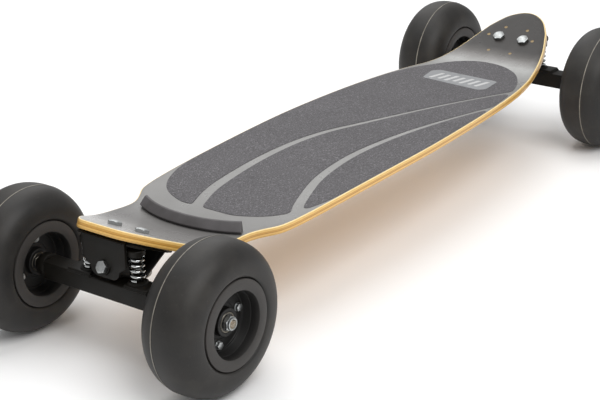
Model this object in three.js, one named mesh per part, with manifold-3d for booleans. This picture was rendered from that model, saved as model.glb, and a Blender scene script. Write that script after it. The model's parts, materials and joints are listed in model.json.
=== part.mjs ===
// A sprung, four-wheeled carving board on pneumatic tyres. Millimetres, Z up, ground at z = 0.
// X runs along the board (rounded nose at +X, blunt tail at -X), the wheels turn about Y.
import * as THREE from 'three';
import { mergeVertices } from 'three/addons/utils/BufferGeometryUtils.js';
import Module from 'manifold-3d';

const wasm = await Module();
wasm.setup();

// wheels
const tyreRadius = 107.5;
const tyreHalfWidth = 44.7;
const tyreShoulderRadius = 68.4;
const tyreRoundness = 2.37;
const tyreWall = 6;
const tyreSegments = 28;
const rimSegments = 18;
const raceSegments = 14;
const rimLipRadius = 62.5;
const rimFaceOffset = 44.5;
const dishRadius = 46.6;
const hubRadius = 19.5;
const bearingRadius = 14;
const bearingWidth = 8;
const axleRadius = 6;
const wheelBase = 1110;
const wheelTrack = 343;
const axleHeight = tyreRadius * Math.cos(Math.PI / tyreSegments);
const fit = 0.3;

// deck
const deckThickness = 12.5;
const deckMiddleHeight = 157.5;
const camberRadius = 10404;
const bendStart = 385;
const bendRadius = 280;
const kickAngle = THREE.MathUtils.degToRad(25);
const deckBoltX = 519.6;
const deckBoltY = 25;
const boltRadius = 6;
const boltHeadFlats = 19;
const boltHeadHeight = 6.4;

// trucks, measured from the middle of the axle with x pointing out to the end of the board
const pivotFoot = new THREE.Vector3(-10.1, 0, 21.6);
const plateThickness = 4.8;
const pivotTubeRadius = 15;
const pivotBossRadius = 10.5;
const pivotRadius = 5;
const pivotHeadFlats = 16;
const beamHalf = 15;
const springSide = 43.5;
const springX = -2;
const springBottom = 19;
const springTop = 57;
const springRadius = 9.1;
const springWire = 1.9;
const springTurns = 4.75;
const springCoreRadius = 6.2;

const material = (color, roughness, metalness) => new THREE.MeshStandardMaterial({ color, roughness, metalness });
const rubberBlack = material('#34322f', 0.75, 0);
const rimGrey = material('#4d4b49', 0.6, 0);
const steelBlack = material('#25221f', 0.5, 0.3);
const zinc = material('#c9ccd0', 0.3, 1);
const maple = material('#c99a55', 0.55, 0);
const gripBlack = material('#58565a', 0.95, 0);
const stopRubber = material('#3f3b3b', 0.8, 0);
const bushWhite = material('#8d8a80', 0.5, 0);

const group = new THREE.Group();
group.name = 'carving_board';

function addMesh(name, geometry, look, parent = group) {
  geometry.computeVertexNormals();
  const mesh = new THREE.Mesh(geometry, look);
  mesh.name = name;
  parent.add(mesh);
  return mesh;
}

// solids for cutting and joining
function toSolid(geometry) {
  const bare = new THREE.BufferGeometry();
  bare.setAttribute('position', geometry.getAttribute('position').clone());
  if (geometry.index) bare.setIndex(geometry.index.clone());
  const merged = mergeVertices(bare, 1e-4);
  return new wasm.Manifold(new wasm.Mesh({
    numProp: 3,
    vertProperties: new Float32Array(merged.getAttribute('position').array),
    triVerts: new Uint32Array(merged.index.array),
  }));
}

function toGeometry(solid) {
  const mesh = solid.getMesh();
  const geometry = new THREE.BufferGeometry();
  geometry.setAttribute('position', new THREE.BufferAttribute(new Float32Array(mesh.vertProperties), 3));
  geometry.setIndex(new THREE.BufferAttribute(new Uint32Array(mesh.triVerts), 1));
  return geometry;
}

function joined(pieces) {
  return pieces.map(toSolid).reduce((sum, solid) => sum.add(solid));
}

function without(solid, cutters) {
  return cutters.map(toSolid).reduce((rest, cutter) => rest.subtract(cutter), solid);
}

function box(x0, x1, y0, y1, z0, z1) {
  const geometry = new THREE.BoxGeometry(x1 - x0, y1 - y0, z1 - z0);
  geometry.translate((x0 + x1) / 2, (y0 + y1) / 2, (z0 + z1) / 2);
  return geometry;
}

// a round bar along x, y or z
function bar(axis, radius, from, to, segments = 16) {
  const geometry = new THREE.CylinderGeometry(radius, radius, to - from, segments);
  if (axis === 'x') geometry.rotateZ(-Math.PI / 2);
  if (axis === 'z') geometry.rotateX(Math.PI / 2);
  const middle = (from + to) / 2;
  geometry.translate(axis === 'x' ? middle : 0, axis === 'y' ? middle : 0, axis === 'z' ? middle : 0);
  return geometry;
}

function hexagon(axis, flats, from, to) {
  return bar(axis, flats / 2 / Math.cos(Math.PI / 6), from, to, 6);
}

// a ring turned about y from points [radius, y]
function turned(points, segments) {
  const profile = points.map(([radius, y]) => new THREE.Vector2(radius, y));
  profile.push(profile[0].clone());
  return mergeVertices(bareLathe(profile, segments), 1e-4);
}

function bareLathe(profile, segments) {
  const lathe = new THREE.LatheGeometry(profile, segments);
  lathe.deleteAttribute('normal');
  lathe.deleteAttribute('uv');
  return lathe;
}

// a solid lofted through rings of equal count, with a flat lid on each end
function lofted(rings) {
  const count = rings[0].length;
  const positions = rings.flat().flatMap((point) => [point.x, point.y, point.z]);
  const index = [];
  for (let ring = 0; ring < rings.length - 1; ring += 1) {
    for (let side = 0; side < count; side += 1) {
      const a = ring * count + side;
      const b = ring * count + ((side + 1) % count);
      index.push(a, b, b + count, a, b + count, a + count);
    }
  }
  const last = (rings.length - 1) * count;
  for (let side = 1; side < count - 1; side += 1) {
    index.push(0, side + 1, side);
    index.push(last, last + side, last + side + 1);
  }
  const geometry = new THREE.BufferGeometry();
  geometry.setAttribute('position', new THREE.Float32BufferAttribute(positions, 3));
  geometry.setIndex(index);
  return geometry;
}

// a smooth curve y(x) through a few stations
function smoothThrough(stations) {
  const slopes = stations.map((station, i) => {
    const before = stations[Math.max(i - 1, 0)];
    const after = stations[Math.min(i + 1, stations.length - 1)];
    return (after[1] - before[1]) / (after[0] - before[0]);
  });
  return (x) => {
    let i = 0;
    while (i < stations.length - 2 && x > stations[i + 1][0]) i += 1;
    const span = stations[i + 1][0] - stations[i][0];
    const t = (x - stations[i][0]) / span;
    const h0 = 2 * t ** 3 - 3 * t ** 2 + 1;
    const h1 = t ** 3 - 2 * t ** 2 + t;
    const h2 = 3 * t ** 2 - 2 * t ** 3;
    const h3 = t ** 3 - t ** 2;
    return h0 * stations[i][1] + h1 * span * slopes[i] + h2 * stations[i + 1][1] + h3 * span * slopes[i + 1];
  };
}

function evenlySpaced(from, to, count) {
  return Array.from({ length: count + 1 }, (unused, i) => from + ((to - from) * i) / count);
}

// height and slope of the deck's top: a long camber, an arc, then a straight kick at both ends
const camberEdge = Math.asin(bendStart / camberRadius);
const kickStart = bendStart + bendRadius * (Math.sin(kickAngle) + Math.sin(camberEdge));
const bendFoot = deckMiddleHeight - camberRadius * (1 - Math.cos(camberEdge));
const kickFoot = bendFoot + bendRadius * (Math.cos(camberEdge) - Math.cos(kickAngle));

function deckTop(x) {
  const out = Math.abs(x);
  const side = Math.sign(x) || 1;
  if (out < bendStart) {
    const angle = Math.asin(out / camberRadius);
    return { z: deckMiddleHeight - camberRadius * (1 - Math.cos(angle)), slope: -angle * side };
  }
  if (out < kickStart) {
    const angle = Math.asin((out - bendStart) / bendRadius - Math.sin(camberEdge));
    return { z: bendFoot + bendRadius * (Math.cos(camberEdge) - Math.cos(angle)), slope: angle * side };
  }
  return { z: kickFoot + Math.tan(kickAngle) * (out - kickStart), slope: kickAngle * side };
}

// a point held a little above (or below) the deck's top surface
function overDeck(x, y, lift) {
  const { z, slope } = deckTop(x);
  return new THREE.Vector3(x - Math.sin(slope) * lift, y, z + Math.cos(slope) * lift);
}

function laidOnDeck(stations, low, high, bottom, top) {
  return lofted(stations.map((x) => [
    overDeck(x, low(x), bottom),
    overDeck(x, high(x), bottom),
    overDeck(x, high(x), top),
    overDeck(x, low(x), top),
  ]));
}

// deck: half-widths along its length
const deckHalf = smoothThrough([
  [-572, 38], [-566, 46], [-555, 58], [-540, 71], [-518, 85], [-485, 98], [-440, 107], [-394, 107.5],
  [-372, 117], [-348, 131], [-300, 138.5], [-200, 143.5], [0, 147.5], [120, 143.5], [240, 134],
  [340, 119.5], [430, 97.5], [500, 78], [545, 59], [572, 39], [586, 18], [589, 6],
]);
const deckStations = [
  ...evenlySpaced(-572, -540, 5), ...evenlySpaced(-530, -400, 9), ...evenlySpaced(-390, -340, 6),
  ...evenlySpaced(-320, 360, 17), ...evenlySpaced(385, 535, 10), ...evenlySpaced(545, 572, 4),
  577, 582, 586, 589,
];
const deckBlank = laidOnDeck(deckStations, (x) => -deckHalf(x), deckHalf, -deckThickness, 0);
const boltPlaces = [1, -1].flatMap((end) => [1, -1].map((side) => ({ end, side })));

function kickFrame({ end, side }) {
  const frame = new THREE.Matrix4().makeRotationY(-kickAngle * end);
  const { z } = deckTop(deckBoltX);
  frame.setPosition(deckBoltX * end, deckBoltY * side, z);
  return frame;
}

const boltHoles = boltPlaces.map((place) => bar('z', boltRadius + fit, -40, 20).applyMatrix4(kickFrame(place)));
addMesh('deck', toGeometry(without(toSolid(deckBlank), boltHoles)), maple);

// grip tape: three panels parted by two curved lines
const gripHalf = smoothThrough([
  [-358, 44], [-350, 66], [-337, 90], [-318, 109], [-293, 123], [-262, 133.5], [-225, 139], [-100, 143],
  [0, 144.3], [120, 140.3], [220, 132.3], [300, 120.5], [350, 107], [387, 90], [417, 68], [435, 38], [441, 12],
]);
const firstLine = smoothThrough([
  [-360, 16], [-300, 36.5], [-220, 46.5], [-140, 49], [-72, 43.5], [-15, 30.5], [45, 6], [120, -24.5],
  [207, -61], [316, -113], [380, -146],
]);
const secondLine = smoothThrough([
  [-312, -128], [-283, -111.5], [-240, -94], [-190, -77.5], [-140, -69], [-90, -65.5], [-40, -67.5],
  [36, -78], [110, -95], [191, -119], [260, -142],
]);
const lineHalf = (x) => THREE.MathUtils.mapLinear(THREE.MathUtils.clamp(x, -340, 160), -340, 160, 9.5, 2.6);

function gripPanel(name, from, to, count, low, high) {
  const stations = evenlySpaced(0, 1, count).map((t) => from + ((to - from) * (1 - Math.cos(Math.PI * t))) / 2);
  addMesh(name, laidOnDeck(stations, low, high, fit, fit + 1), gripBlack);
}

gripPanel('grip_left', -357, 441, 34,
  (x) => Math.max(firstLine(x) + lineHalf(x), -gripHalf(x)), gripHalf);
gripPanel('grip_middle', -357, 308, 30,
  (x) => Math.max(secondLine(x) + lineHalf(x), -gripHalf(x)),
  (x) => Math.min(firstLine(x) - lineHalf(x), gripHalf(x)));
gripPanel('grip_right', -285, 221, 24,
  (x) => -gripHalf(x), (x) => secondLine(x) - lineHalf(x));

// foot stop: a curved bar across the deck where the kick begins
const stopRadius = 182;
const stopFront = -430;
const stopMiddle = -6;
const stopReach = Math.asin(97 / stopRadius);
const stopSection = [[4.5, 0], [0, 5], [9, 16.5], [12.5, 17], [19, 0]];
const stopRings = evenlySpaced(-stopReach, stopReach, 14).map((angle) => stopSection.map(([back, height]) => {
  const radius = stopRadius - back;
  const x = stopFront + stopRadius - radius * Math.cos(angle);
  return new THREE.Vector3(x, stopMiddle + radius * Math.sin(angle), deckTop(x).z + fit + 0.2 + height);
}));
addMesh('foot_stop', lofted(stopRings), stopRubber);

// the four bolts that hold the trucks
for (const place of boltPlaces) {
  const name = `${place.end > 0 ? 'front' : 'rear'}_deck_bolt_${place.side > 0 ? 'left' : 'right'}`;
  const shank = bar('z', boltRadius, -30, 3);
  const head = hexagon('z', boltHeadFlats, fit, fit + boltHeadHeight).rotateZ(0.3);
  const bolt = addMesh(name, toGeometry(joined([shank, head])), zinc);
  bolt.applyMatrix4(kickFrame(place));
  const ring = without(toSolid(hexagon('z', boltHeadFlats, -27.6, -18.2)), [bar('z', boltRadius + fit, -40, 0)]);
  const nut = addMesh(name.replace('bolt', 'nut'), toGeometry(ring), zinc);
  nut.applyMatrix4(kickFrame(place));
}

// the deck bolts and the deck's underside, seen from the foot of the tilted pivot
const boltFromFoot = new THREE.Vector2(
  deckBoltX - wheelBase / 2 - pivotFoot.x, deckTop(deckBoltX).z - axleHeight - pivotFoot.z,
);
const boltAlong = boltFromFoot.x * Math.cos(kickAngle) + boltFromFoot.y * Math.sin(kickAngle);
const deckAbove = boltFromFoot.y * Math.cos(kickAngle) - boltFromFoot.x * Math.sin(kickAngle);
const plateTop = deckAbove - deckThickness - fit;
const plateBottom = plateTop - plateThickness;

// a truck: bracket on the board, hanger that leans about the tilted pivot, springs between them
const tilt = new THREE.Matrix4().makeRotationY(-kickAngle).setPosition(pivotFoot);
const tilted = (geometry) => geometry.applyMatrix4(tilt);

function outline(points) {
  return new THREE.Shape(points.map(([a, b]) => new THREE.Vector2(a, b)));
}

// a plate cut from an outline in y and z, standing across the board
function crossPlate(shape, x0, x1) {
  const geometry = new THREE.ExtrudeGeometry(shape, { depth: x1 - x0, bevelEnabled: false, curveSegments: 8 });
  geometry.rotateX(Math.PI / 2);
  geometry.rotateZ(Math.PI / 2);
  geometry.translate(x0, 0, 0);
  return geometry;
}

// a plate cut from an outline in x and y, lying flat
function flatPlate(shape, z0, z1) {
  const geometry = new THREE.ExtrudeGeometry(shape, { depth: z1 - z0, bevelEnabled: false, curveSegments: 8 });
  geometry.translate(0, 0, z0);
  return geometry;
}

function frontLugShape() {
  const shape = new THREE.Shape();
  shape.moveTo(-34, 82);
  shape.lineTo(-29, 46);
  shape.lineTo(-27, 32);
  shape.absarc(-13, 32, 14, Math.PI, Math.PI * 1.5, false);
  shape.absarc(13, 32, 14, Math.PI * 1.5, Math.PI * 2, false);
  shape.lineTo(29, 46);
  shape.lineTo(34, 82);
  shape.closePath();
  return shape;
}

function bracket() {
  const plate = tilted(flatPlate(outline([
    [-38, 48], [-30, 62], [-7, 71], [18, 60], [46, 40], [46, -40], [18, -60], [-7, -71], [-30, -62], [-38, -48],
  ]), plateBottom, plateTop));
  const frontLug = crossPlate(frontLugShape(), 5.2, 13);
  const rearLug = crossPlate(outline([[-48, 60], [-48, 44], [-11, -4], [11, -4], [48, 44], [48, 60]]), -57, -49);
  const frontBoss = tilted(bar('x', pivotBossRadius, 11, 31));
  const rearBoss = tilted(bar('x', pivotBossRadius, -56, -36));
  const springCups = [1, -1].map((side) => {
    const cup = bar('z', springRadius + springWire + 1.5, springTop + fit, 80);
    return cup.translate(springX, springSide * side, 0);
  });
  const trim = tilted(box(-120, 120, -120, 120, plateTop, plateTop + 80));
  const cores = [1, -1].map((side) => {
    const core = bar('z', springCoreRadius, 41, springTop + 2, 12);
    return core.translate(springX, springSide * side, 0);
  });
  const bore = tilted(bar('x', pivotRadius + fit, -90, 90));
  const wrenchRoom = [1, -1].map((side) => {
    const room = bar('z', 14.5, 14, plateBottom).translate(boltAlong, deckBoltY * side, 0);
    return tilted(room);
  });
  const holes = [1, -1].map((side) => {
    const hole = bar('z', boltRadius + fit, 14, 60).translate(boltAlong, deckBoltY * side, 0);
    return tilted(hole);
  });
  return without(joined([plate, frontLug, rearLug, frontBoss, rearBoss, ...springCups, ...cores]),
    [trim, bore, ...holes, ...wrenchRoom]);
}

function hanger() {
  const beam = box(-beamHalf, beamHalf, -122, 122, -beamHalf, beamHalf - 3.5);
  const arms = [1, -1].map((side) => {
    const arm = box(-beamHalf, beamHalf, -21, 21, -beamHalf, 16);
    return arm.translate(0, side * 52, 0);
  });
  const seats = [1, -1].map((side) => {
    const seat = bar('z', springRadius + springWire + 2, 8, springBottom - fit);
    return seat.translate(springX, springSide * side, 0);
  });
  const studs = [1, -1].map((side) => {
    const stud = bar('z', springCoreRadius, 8, springBottom + 8, 12);
    return stud.translate(springX, springSide * side, 0);
  });
  const tube = tilted(bar('x', pivotTubeRadius, -33.5, 8.5));
  const web = box(-31, -6, -9, 9, -beamHalf, 12);
  const ends = [1, -1].map((side) => bar('y', 17, -7, 7).translate(0, side * 127, 0));
  const collars = [1, -1].map((side) => bar('y', 9, -8, 8).translate(0, side * 135.2, 0));
  const axle = bar('y', axleRadius, -209, 209);
  const bore = tilted(bar('x', pivotRadius + fit, -90, 90));
  return without(joined([beam, ...arms, ...seats, ...studs, tube, web, ...ends, ...collars, axle]), [bore]);
}

function spring() {
  class Coil extends THREE.Curve {
    getPoint(t) {
      const angle = t * springTurns * Math.PI * 2;
      const low = springBottom + springWire;
      const high = springTop - springWire;
      return new THREE.Vector3(Math.cos(angle) * springRadius, Math.sin(angle) * springRadius, low + (high - low) * t);
    }
  }
  const wire = new THREE.Shape();
  wire.absarc(0, 0, springWire, 0, Math.PI * 2, false);
  return new THREE.ExtrudeGeometry(wire, {
    steps: Math.round(springTurns * 8), curveSegments: 3, bevelEnabled: false, extrudePath: new Coil(),
  });
}

function truck(end) {
  const front = end === 'front';
  const sideName = (side) => ((side > 0) === front ? 'left' : 'right');
  const assembly = new THREE.Group();
  assembly.position.set(front ? wheelBase / 2 : -wheelBase / 2, 0, axleHeight);
  assembly.rotation.z = front ? 0 : Math.PI;
  group.add(assembly);
  addMesh(`${end}_bracket`, toGeometry(bracket()), steelBlack, assembly);
  addMesh(`${end}_hanger`, toGeometry(hanger()), steelBlack, assembly);
  const pivot = joined([bar('x', pivotRadius, -68, 34), hexagon('x', pivotHeadFlats, 31 + fit, 37.8)]);
  addMesh(`${end}_pivot_bolt`, toGeometry(pivot), zinc, assembly).applyMatrix4(tilt);
  const nut = without(toSolid(hexagon('x', pivotHeadFlats, -65, -56 - fit)), [bar('x', pivotRadius + fit, -90, 90)]);
  addMesh(`${end}_pivot_nut`, toGeometry(nut), zinc, assembly).applyMatrix4(tilt);
  for (const [name, from, to] of [['outer', 8.5 + fit, 11 - fit], ['inner', -36 + fit, -33.5 - fit]]) {
    const bush = without(toSolid(bar('x', pivotBossRadius, from, to)), [bar('x', pivotRadius + fit, -90, 90)]);
    addMesh(`${end}_pivot_washer_${name}`, toGeometry(bush), bushWhite, assembly).applyMatrix4(tilt);
  }
  for (const side of [1, -1]) {
    const coil = addMesh(`${end}_spring_${sideName(side)}`, spring(), zinc, assembly);
    coil.position.set(springX, springSide * side, 0);
    const hex = toSolid(hexagon('y', boltHeadFlats, -4, 4));
    const ring = without(hex, [bar('y', axleRadius + fit, -20, 20)]);
    const axleNut = addMesh(`${end}_axle_nut_${sideName(side)}`, toGeometry(ring), zinc, assembly);
    axleNut.position.set(0, side * (wheelTrack / 2 + 28 + fit + 4), 0);
  }
}

truck('front');
truck('rear');

// wheels: local +y is the outer side
function tyreProfile() {
  const arch = (radius, width, angle) => [
    tyreShoulderRadius + (radius - tyreShoulderRadius) * Math.cos(angle) ** (2 / tyreRoundness),
    width * Math.sin(angle) ** (2 / tyreRoundness),
  ];
  const outer = [20, 42, 62, 90].map((degrees) => arch(tyreRadius, tyreHalfWidth, degrees * (Math.PI / 180)));
  const inner = [45].map((degrees) => {
    const angle = degrees * (Math.PI / 180);
    return arch(tyreRadius - tyreWall, tyreHalfWidth - tyreWall, angle);
  });
  const half = [[tyreRadius, 5], ...outer, [63.4, 43], [63.2, 39.8], [53.2, 34.4], [53.2, 26], [60, 28], ...inner];
  const mirrored = half.map(([radius, y]) => [radius, -y]).reverse();
  return [...half, ...mirrored];
}

function rimProfile() {
  const face = rimFaceOffset;
  return [
    [dishRadius, face], [rimLipRadius, face], [rimLipRadius, face - 3.6], [52.4, 35.5], [52.4, 0.2], [48.5, 0.2],
    [48.5, 14], [hubRadius, 14], [hubRadius, 0.2], [9, 0.2], [9, 28 - bearingWidth - 0.4],
    [bearingRadius + fit, 28 - bearingWidth - 0.4], [bearingRadius + fit, 28], [hubRadius, 28],
    [hubRadius, 18], [43, 18],
  ].reverse();
}

function wheel(end, sideName) {
  const name = `${end}_${sideName}`;
  const side = sideName === 'left' ? 1 : -1;
  const assembly = new THREE.Group();
  assembly.position.set(end === 'front' ? wheelBase / 2 : -wheelBase / 2, (side * wheelTrack) / 2, axleHeight);
  assembly.rotation.z = side > 0 ? 0 : Math.PI;
  group.add(assembly);
  const tyre = addMesh(`${name}_tyre`, turned(tyreProfile(), tyreSegments), rubberBlack, assembly);
  tyre.rotation.y = Math.PI / tyreSegments;
  addMesh(`${name}_rim_outer`, turned(rimProfile(), rimSegments), rimGrey, assembly);
  const inner = addMesh(`${name}_rim_inner`, turned(rimProfile(), rimSegments), rimGrey, assembly);
  inner.rotation.z = Math.PI;
  const race = [[axleRadius + fit, 0], [bearingRadius, 0], [bearingRadius, bearingWidth], [axleRadius + fit, bearingWidth]];
  for (const [place, start] of [['outer', 28 - bearingWidth], ['inner', -28]]) {
    const ring = race.map(([radius, y]) => [radius, y + start]);
    addMesh(`${name}_bearing_${place}`, turned(ring, raceSegments), zinc, assembly);
  }
}

for (const end of ['front', 'rear']) {
  wheel(end, 'left');
  wheel(end, 'right');
}

export default group;
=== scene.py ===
import json
import math

import bmesh
import bpy
import numpy as np
from mathutils import Matrix, Vector
from mathutils.geometry import delaunay_2d_cdt


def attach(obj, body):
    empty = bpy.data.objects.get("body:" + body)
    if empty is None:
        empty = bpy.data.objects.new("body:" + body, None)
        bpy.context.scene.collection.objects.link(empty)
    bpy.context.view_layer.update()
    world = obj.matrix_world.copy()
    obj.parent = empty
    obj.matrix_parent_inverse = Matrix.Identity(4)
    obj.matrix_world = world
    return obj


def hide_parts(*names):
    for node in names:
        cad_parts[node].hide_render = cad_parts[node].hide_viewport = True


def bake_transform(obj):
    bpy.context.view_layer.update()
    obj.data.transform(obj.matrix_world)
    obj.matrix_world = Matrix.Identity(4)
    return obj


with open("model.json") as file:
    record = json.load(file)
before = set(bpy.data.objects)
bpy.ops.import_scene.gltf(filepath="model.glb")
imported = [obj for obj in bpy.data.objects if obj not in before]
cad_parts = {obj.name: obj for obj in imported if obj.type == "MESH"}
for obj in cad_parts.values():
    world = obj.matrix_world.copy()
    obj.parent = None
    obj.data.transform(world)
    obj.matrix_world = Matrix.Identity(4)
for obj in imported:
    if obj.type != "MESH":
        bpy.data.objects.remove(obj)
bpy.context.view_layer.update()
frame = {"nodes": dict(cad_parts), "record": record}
mm = 0.001
bodyOf = {node: body for body, nodes in frame["record"]["behaviour"]["bodies"].items() for node in nodes}
print("frame loaded:", len(frame["nodes"]), "nodes")


# small helpers for nodes and colours
def linearColour(hexCode):
    parts = [int(hexCode[i:i + 2], 16) / 255 for i in (1, 3, 5)]
    return (*[c / 12.92 if c <= 0.04045 else ((c + 0.055) / 1.055) ** 2.4 for c in parts], 1.0)


def addNode(tree, kind, inputs=None, stops=None, **settings):
    node = tree.nodes.new(kind)
    for key, value in settings.items():
        setattr(node, key, value)
    for key, value in (inputs or {}).items():
        if isinstance(value, bpy.types.NodeSocket):
            tree.links.new(value, node.inputs[key])
        else:
            node.inputs[key].default_value = linearColour(value) if isinstance(value, str) else value
    if stops:
        ramp = node.color_ramp.elements
        while len(ramp) < len(stops):
            ramp.new(0.5)
        for element, (place, colour) in zip(ramp, stops):
            element.position = place
            element.color = linearColour(colour) if isinstance(colour, str) else (colour, colour, colour, 1)
    return node


class Finish:
    # a material under construction; every size is in millimetres
    def __init__(self, name, **values):
        self.material = bpy.data.materials.new(name)
        self.material.use_nodes = True
        self.tree = self.material.node_tree
        self.shader = self.tree.nodes["Principled BSDF"]
        for key, value in values.items():
            self.shader.inputs[key.replace("_", " ")].default_value = value
        self.where = addNode(self.tree, "ShaderNodeTexCoord").outputs["Object"]

    def noise(self, size, detail, where=None, **inputs):
        given = {"Vector": self.where if where is None else where, "Scale": 1 / (size * mm), "Detail": detail}
        return addNode(self.tree, "ShaderNodeTexNoise", {**given, **inputs}).outputs["Fac"]

    def stretch(self, scale):
        return addNode(self.tree, "ShaderNodeMapping", {"Vector": self.where, "Scale": scale}).outputs["Vector"]

    def stored(self, name):
        return addNode(self.tree, "ShaderNodeAttribute", attribute_name=name).outputs["Fac"]

    def ramp(self, share, *stops):
        return addNode(self.tree, "ShaderNodeValToRGB", {"Fac": share}, stops=stops).outputs["Color"]

    def spread(self, value, low, high, start=0.3, end=0.7):
        inputs = {"Value": value, 1: start, 2: end, 3: low, 4: high}
        return addNode(self.tree, "ShaderNodeMapRange", inputs).outputs["Result"]

    def reckon(self, operation, *values):
        return addNode(self.tree, "ShaderNodeMath", dict(enumerate(values)), operation=operation).outputs[0]

    def mix(self, share, first, second, blend="MIX"):
        inputs = {0: share, 6: first, 7: second}
        return addNode(self.tree, "ShaderNodeMix", inputs, data_type="RGBA", blend_type=blend).outputs[2]

    def turningLines(self, pitch):
        return self.reckon("SINE", self.reckon("MULTIPLY", self.stored("fromAxle"), 2 * math.pi / pitch))

    def close(self, colour, rough=None, height=None, strength=0.1, depth=0.2):
        self.tree.links.new(colour, self.shader.inputs["Base Color"])
        if rough is not None:
            self.tree.links.new(rough, self.shader.inputs["Roughness"])
        if height is not None:
            inputs = {"Height": height, "Strength": strength, "Distance": depth * mm}
            bump = addNode(self.tree, "ShaderNodeBump", inputs)
            self.tree.links.new(bump.outputs["Normal"], self.shader.inputs["Normal"])
        return self.material


# finishes
def mouldedRubber():
    # carbon-black natural rubber out of a polished mould: dark, softly shiny, faintly dusty in patches
    made = Finish("mouldedRubber", Roughness=0.5, IOR=1.38)
    patches = made.noise(38, 5.0)
    tone = made.ramp(patches, (0.3, "#1f1e1d"), (0.52, "#272523"), (0.72, "#312f2c"))
    dust = made.ramp(made.noise(3.5, 3.0), (0.62, 0.0), (0.8, 0.25))
    # mould turning lines 2.2 mm apart, coarser than real so that they show, over a fine skin
    height = made.reckon("MULTIPLY_ADD", made.turningLines(2.2), 0.12, made.noise(1.1, 2.0))
    return made.close(made.mix(dust, tone, "#454340"), made.spread(patches, 0.4, 0.6, 0, 1), height, 0.12, 0.4)


def seamRubber():
    # the flash left on the mould's parting line, coloured pale
    made = Finish("seamRubber", Roughness=0.65)
    return made.close(made.ramp(made.noise(14, 4.0), (0.3, "#5f5b53"), (0.55, "#837e74"), (0.8, "#98938a")))


def glassNylon():
    # glass-filled nylon: the face ring painted matte grey where light falls on it, the dish painted nearly black as
    # shade
    made = Finish("glassNylon", Roughness=0.55, IOR=1.42)
    fromDish = made.spread(made.stored("fromAxle"), 0, 1, 44.0, 64.0)
    # the dark stops below 0.1 are painted shade in the dish; the grey stops are the face ring painted lighter by
    # the light
    tone = made.ramp(fromDish, (0.0, "#121110"), (0.1, "#151413"), (0.16, "#302e2c"), (0.9, "#373432"))
    fibres = made.noise(2.5, 4.0)
    height = made.reckon("MULTIPLY_ADD", made.turningLines(1.4), 0.15, fibres)
    varied = made.mix(1.0, tone, made.spread(fibres, 0.86, 1.14, 0, 1), "MULTIPLY")
    return made.close(varied, height=height, strength=0.18, depth=0.3)


def zincPlate(name="zincPlate", tone="#bcbfc1", low=0.32, high=0.52, dull="#9b9d9a"):
    # bright zinc plating over machined steel: cool and shiny, clouded where it was handled
    made = Finish(name, Metallic=1.0)
    cloud = made.noise(6, 5.0)
    return made.close(made.mix(cloud, tone, dull), made.spread(cloud, low, high), made.noise(0.9, 2.0), 0.08)


def bareSteel():
    # uncoated axle steel: a warm film of oil and first rust
    made = Finish("bareSteel", Metallic=1.0, Roughness=0.4)
    rust = made.noise(2.2, 5.0)
    tone = made.ramp(rust, (0.35, "#9a958c"), (0.55, "#857a6a"), (0.75, "#6b563d"))
    return made.close(tone, height=rust, strength=0.15)


def powderCoat():
    # black polyester powder coat on welded steel: even satin with a slight orange peel
    made = Finish("powderCoat", Roughness=0.42, IOR=1.29)
    broad = made.noise(30, 5.0)
    tone = made.ramp(broad, (0.3, "#0f0d0a"), (0.55, "#13110d"), (0.75, "#191612"))
    return made.close(tone, made.spread(broad, 0.42, 0.58), made.noise(2.4, 1.5), 0.2, 0.3)


def mapleEdge():
    # cut edge of seven maple plies under lacquer: golden bands, thin brown glue lines, pores along the board
    made = Finish("mapleEdge", Roughness=0.38, IOR=1.5, Coat_Weight=0.3, Coat_Roughness=0.2)
    drift = made.reckon("MULTIPLY_ADD", made.noise(60, 2.0), 0.9, made.stored("plyDepth"))
    tone = made.ramp(
        made.reckon("DIVIDE", drift, 13.4),
        (0.0, "#efd9a4"), (0.12, "#eac983"), (0.16, "#c89649"), (0.19, "#e3ba6d"), (0.33, "#dfb364"),
        (0.37, "#ae7d32"), (0.41, "#ca994a"), (0.53, "#bf8c3c"), (0.57, "#966722"), (0.61, "#dcad5a"),
        (0.78, "#e0b566"), (0.82, "#ae7c32"), (0.86, "#deb263"), (1.0, "#d0a154"))
    grain = made.noise(0.7, 4.0, made.stretch((0.06, 0.2, 1.0)))
    varied = made.mix(1.0, tone, made.spread(grain, 0.84, 1.12, 0.25, 0.75), "MULTIPLY")
    return made.close(varied, height=grain, strength=0.15, depth=0.3)


def mapleVeneer():
    # the underside's face veneer: pale long grain, darker growth bands, satin lacquer
    made = Finish("mapleVeneer", Roughness=0.4, IOR=1.5, Coat_Weight=0.25, Coat_Roughness=0.25)
    along = made.stretch((0.05, 1.0, 0.3))
    tone = made.ramp(made.noise(16, 6.0, along, Distortion=0.6),
                     (0.3, "#b98a4c"), (0.48, "#cfa468"), (0.62, "#d9b37a"), (0.8, "#c4935a"))
    pores = made.noise(1.4, 3.0, along)
    varied = made.mix(1.0, tone, made.spread(pores, 0.88, 1.08), "MULTIPLY")
    return made.close(varied, height=pores, strength=0.12, depth=0.3)


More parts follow.
